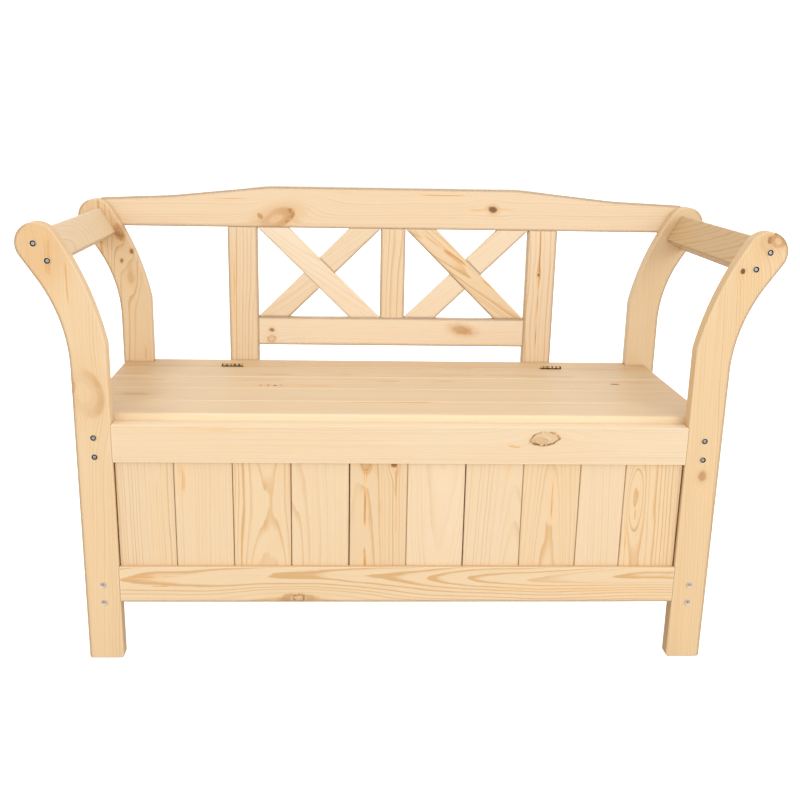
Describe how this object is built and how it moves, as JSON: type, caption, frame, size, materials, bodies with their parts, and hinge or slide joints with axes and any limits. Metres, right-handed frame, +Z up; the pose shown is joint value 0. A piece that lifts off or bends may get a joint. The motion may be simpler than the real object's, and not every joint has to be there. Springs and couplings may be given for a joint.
{
  "type": "garden storage bench",
  "caption": "Wooden garden bench with curved arm legs, a cross-braced back and a hinged seat lid over a boarded storage box.",
  "frame": {"origin": "on the floor, midway between the outermost faces of the bench, left to right and front to back", "axes": "+X to the right as seen from the front, -Y to the front, +Z up"},
  "size_m": [1.2498, 0.49, 0.796],
  "materials": {
    "leg_pine": "planed bare pine, satin",
    "arm_pine": "planed bare pine, satin",
    "rail_pine": "planed bare pine, satin",
    "board_pine": "planed bare pine, satin",
    "back_pine": "planed bare pine, satin",
    "seat_pine": "planed bare pine, satin",
    "inside_pine": "planed bare pine, matt",
    "screw_steel": "zinc plated, satin",
    "brass": "aged yellow, satin"
  },
  "bodies": {
    "frame": {"back_screws": "screw_steel", "back_top_rail": "back_pine", "centre_back_post": "back_pine", "floor_bearer": "inside_pine", "floor_boards": "inside_pine", "front_apron": "rail_pine", "front_board_01": "board_pine", "front_board_02": "board_pine", "front_board_03": "board_pine", "front_board_04": "board_pine", "front_board_05": "board_pine", "front_board_06": "board_pine", "front_board_07": "board_pine", "front_board_08": "board_pine", "front_board_09": "board_pine", "front_board_10": "board_pine", "front_leg_screws": "screw_steel", "front_lower_rail": "rail_pine", "hinge_strip": "seat_pine", "left_armrest": "arm_pine", "left_back_post": "back_pine", "left_falling_brace": "back_pine", "left_front_leg": "leg_pine", "left_hinge_fixed_leaf": "brass", "left_hinge_pin": "brass", "left_lower_side_rail": "rail_pine", "left_rear_leg": "leg_pine", "left_rising_brace": "back_pine", "left_side_boards": "inside_pine", "left_upper_side_rail": "rail_pine", "lower_back_rail": "back_pine", "rear_boards": "inside_pine", "rear_leg_screws": "screw_steel", "rear_lower_rail": "rail_pine", "rear_upper_rail": "rail_pine", "right_armrest": "arm_pine", "right_back_post": "back_pine", "right_falling_brace": "back_pine", "right_front_leg": "leg_pine", "right_hinge_fixed_leaf": "brass", "right_hinge_pin": "brass", "right_lower_side_rail": "rail_pine", "right_rear_leg": "leg_pine", "right_rising_brace": "back_pine", "right_side_boards": "inside_pine", "right_upper_side_rail": "rail_pine"},
    "lid": {"lid_board_1": "seat_pine", "lid_board_2": "seat_pine", "lid_board_3": "seat_pine", "lid_board_4": "seat_pine", "left_lid_batten": "inside_pine", "middle_lid_batten": "inside_pine", "right_lid_batten": "inside_pine", "left_hinge_moving_leaf": "brass", "right_hinge_moving_leaf": "brass"}
  },
  "joints": [
    {"name": "lid_hinge", "type": "hinge", "parent": "frame", "child": "lid", "pos_m": [0, 0.1592, 0.448], "axis": [-1, 0, 0], "range_deg": [0, 99]}
  ]
}
